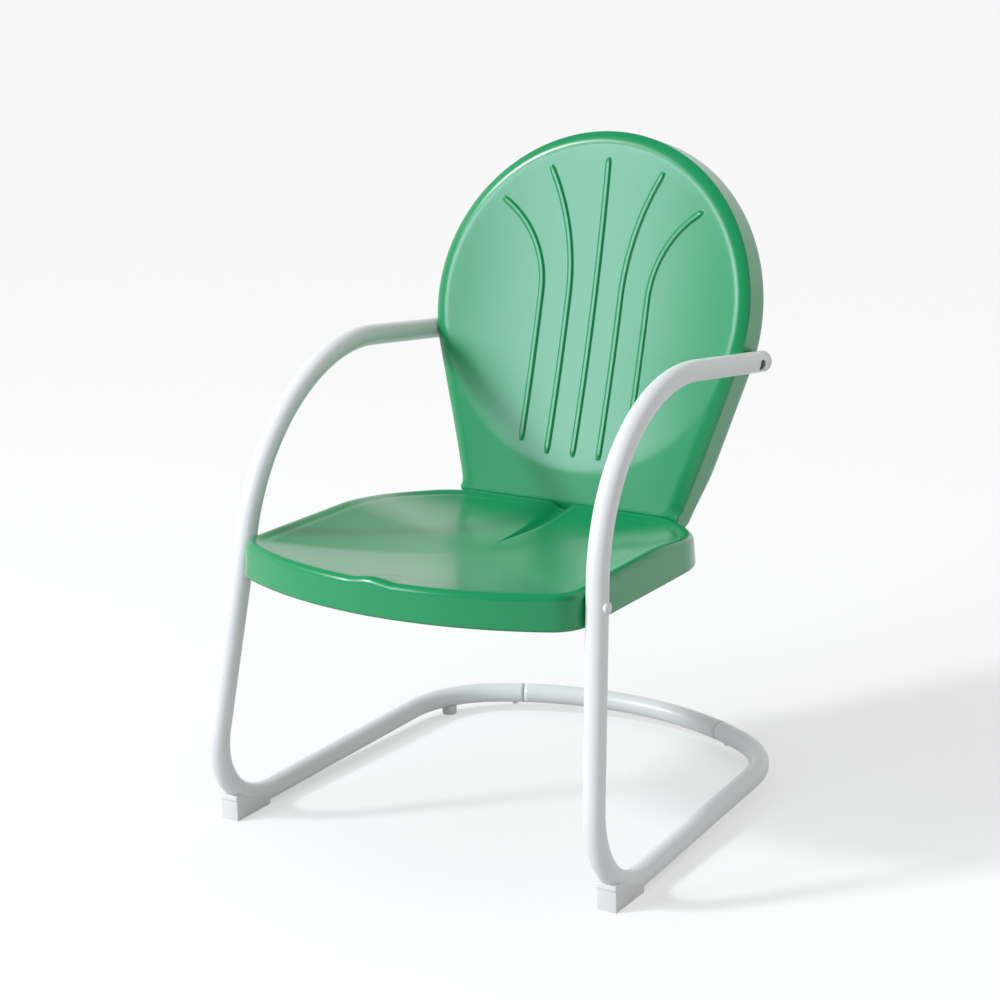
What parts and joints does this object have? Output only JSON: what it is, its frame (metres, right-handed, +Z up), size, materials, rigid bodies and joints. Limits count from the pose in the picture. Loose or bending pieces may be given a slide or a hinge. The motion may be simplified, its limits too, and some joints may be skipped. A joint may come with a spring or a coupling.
{
  "type": "metal patio chair",
  "caption": "Metal patio chair with a dished steel seat and a rounded, ribbed shell back, both bolted to a springy bent tube frame with arms.",
  "frame": {"origin": "on the floor, in the middle of the chair's footprint box", "axes": "+Z up; the chair faces -Y; X runs from side to side, with the sitter's left at +X"},
  "size_m": [0.6094, 0.7008, 0.8866],
  "materials": {
    "green_paint": "semi-gloss powder coat on steel sheet",
    "pale_paint": "semi-gloss powder coat on steel tube",
    "white_plastic": "moulded, satin",
    "zinc": "zinc plated"
  },
  "bodies": {
    "root": {"seat_pan": "green_paint", "back_shell": "green_paint", "left_side_tube": "pale_paint", "right_side_tube": "pale_paint", "rear_cross_tube": "pale_paint", "joint_screws": "zinc", "left_arm_plug": "white_plastic", "right_arm_plug": "white_plastic", "arm_bolts": "zinc", "arm_bolt_washers": "zinc", "arm_bolt_nuts": "zinc", "seat_bolts": "zinc", "seat_bolt_washers": "zinc", "seat_bolt_nuts": "zinc", "back_bolts": "zinc", "back_bolt_washers": "zinc", "back_bolt_nuts": "zinc", "left_front_foot": "white_plastic", "right_front_foot": "white_plastic", "left_rear_glide": "white_plastic", "right_rear_glide": "white_plastic"}
  },
  "joints": []
}
